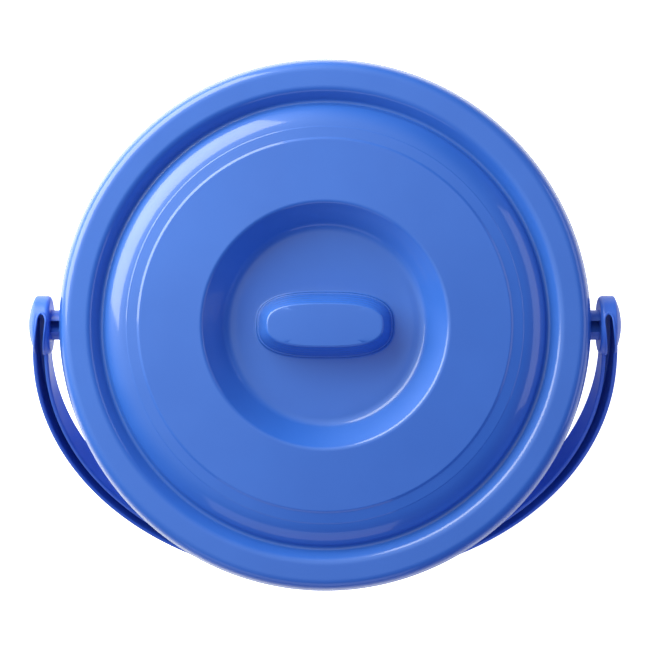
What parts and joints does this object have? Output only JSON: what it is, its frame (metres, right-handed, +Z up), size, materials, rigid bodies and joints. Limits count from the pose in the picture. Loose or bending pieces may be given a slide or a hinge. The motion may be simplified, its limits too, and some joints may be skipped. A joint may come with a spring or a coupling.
{
  "type": "wash bucket",
  "caption": "Round glossy blue plastic wash bucket with an overlapping lid that has a moulded knob in its dished middle, and a swinging channel-strap bail handle with a clip-on grip.",
  "frame": {"origin": "middle of the plane that the foot ring stands on, under the middle of the lid", "axes": "+Z up; X along the bail's pivot pins; the bail hangs towards -Y at rest"},
  "size_m": [0.3372, 0.3, 0.2558],
  "materials": {
    "body_plastic": "glossy moulded polypropylene",
    "lid_plastic": "glossy moulded polypropylene",
    "bail_plastic": "glossy moulded polypropylene",
    "grip_plastic": "satin moulded polypropylene"
  },
  "bodies": {
    "bucket": {"bucket_body": "body_plastic"},
    "lid": {"lid": "lid_plastic"},
    "bail": {"bail_handle": "bail_plastic", "hand_grip": "grip_plastic"}
  },
  "joints": [
    {"name": "bail_swing", "type": "hinge", "parent": "bucket", "child": "bail", "pos_m": [0, 0, 0.226], "axis": [-1, 0, 0], "range_deg": [0, 257]},
    {"name": "lid_lift", "type": "slide", "parent": "bucket", "child": "lid", "axis": [0, 0, 1], "range_m": [0, 0.3]}
  ]
}
